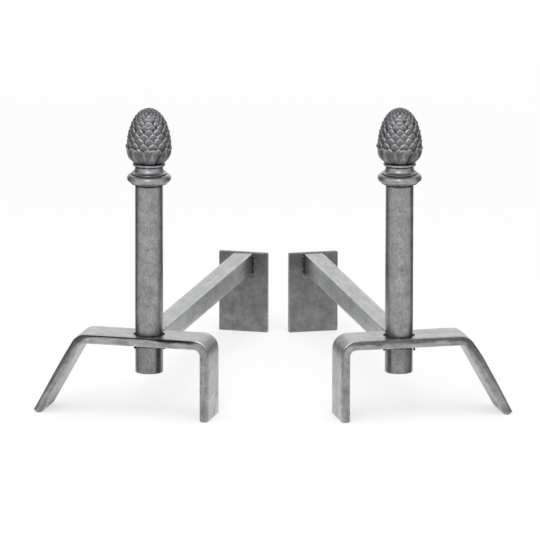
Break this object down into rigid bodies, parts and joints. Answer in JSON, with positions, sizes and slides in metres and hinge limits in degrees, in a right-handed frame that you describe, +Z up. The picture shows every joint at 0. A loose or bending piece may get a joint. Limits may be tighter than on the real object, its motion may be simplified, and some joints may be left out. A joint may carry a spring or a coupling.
{
  "type": "pair of andirons",
  "caption": "Steel andirons for a hearth: arched front stand, round post with a pine cone finial, and a square log bar running back to a plate foot.",
  "frame": {"origin": "on the hearth, at the middle of the footprint of the pair", "axes": "+X along the line of the posts, to the right as seen from the room; +Y from the room towards the fire; +Z up"},
  "size_m": [0.6122, 0.529, 0.4008],
  "materials": {
    "leg_steel": "hot-forged flat bar, wire brushed and clear coated, with hammered edges",
    "post_steel": "round bar with its mill skin brushed back, clear coated, clouded grey",
    "bar_steel": "square bar, brushed and clear coated, pale grey",
    "plate_steel": "flat plate with dark mill skin, clear coated",
    "cast_iron": "cast scales, dark in the hollows and rubbed bright on the tips",
    "turned_iron": "turned and polished casting, satin blue-grey",
    "stud_steel": "plain threaded steel",
    "weld_metal": "rippled weld bead, scorched dark"
  },
  "bodies": {
    "left_stand": {"left_front_legs": "leg_steel", "left_post": "post_steel", "left_log_bar": "bar_steel", "left_back_plate": "plate_steel", "left_finial_stud": "stud_steel", "left_post_top_weld": "weld_metal", "left_post_under_weld": "weld_metal", "left_log_bar_weld": "weld_metal", "left_back_plate_weld": "weld_metal"},
    "left_finial_foot": {"left_finial_base": "turned_iron"},
    "left_finial_cone": {"left_pine_cone": "cast_iron"},
    "right_stand": {"right_front_legs": "leg_steel", "right_post": "post_steel", "right_log_bar": "bar_steel", "right_back_plate": "plate_steel", "right_finial_stud": "stud_steel", "right_post_top_weld": "weld_metal", "right_post_under_weld": "weld_metal", "right_log_bar_weld": "weld_metal", "right_back_plate_weld": "weld_metal"},
    "right_finial_foot": {"right_finial_base": "turned_iron"},
    "right_finial_cone": {"right_pine_cone": "cast_iron"}
  },
  "joints": [
    {"name": "pair_spacing", "type": "slide", "parent": "left_stand", "child": "right_stand", "axis": [1, 0, 0], "range_m": [-0.015, 0.15]},
    {"name": "left_finial_rise", "type": "slide", "parent": "left_stand", "child": "left_finial_foot", "axis": [0, 0, 1], "range_m": [0, 0.01926]},
    {"name": "left_finial_turn", "type": "hinge", "parent": "left_finial_foot", "child": "left_finial_cone", "pos_m": [-0.15775, -0.21856, 0], "axis": [0, 0, 1], "range_deg": [0, 3960]},
    {"name": "right_finial_rise", "type": "slide", "parent": "right_stand", "child": "right_finial_foot", "axis": [0, 0, 1], "range_m": [0, 0.01926]},
    {"name": "right_finial_turn", "type": "hinge", "parent": "right_finial_foot", "child": "right_finial_cone", "pos_m": [0.16019, -0.21856, 0], "axis": [0, 0, 1], "range_deg": [0, 3960]}
  ],
  "couplings": [
    {"joint": "left_finial_rise", "follows": "left_finial_turn", "m_per_rad": 0.00027852},
    {"joint": "right_finial_rise", "follows": "right_finial_turn", "m_per_rad": 0.00027852}
  ]
}
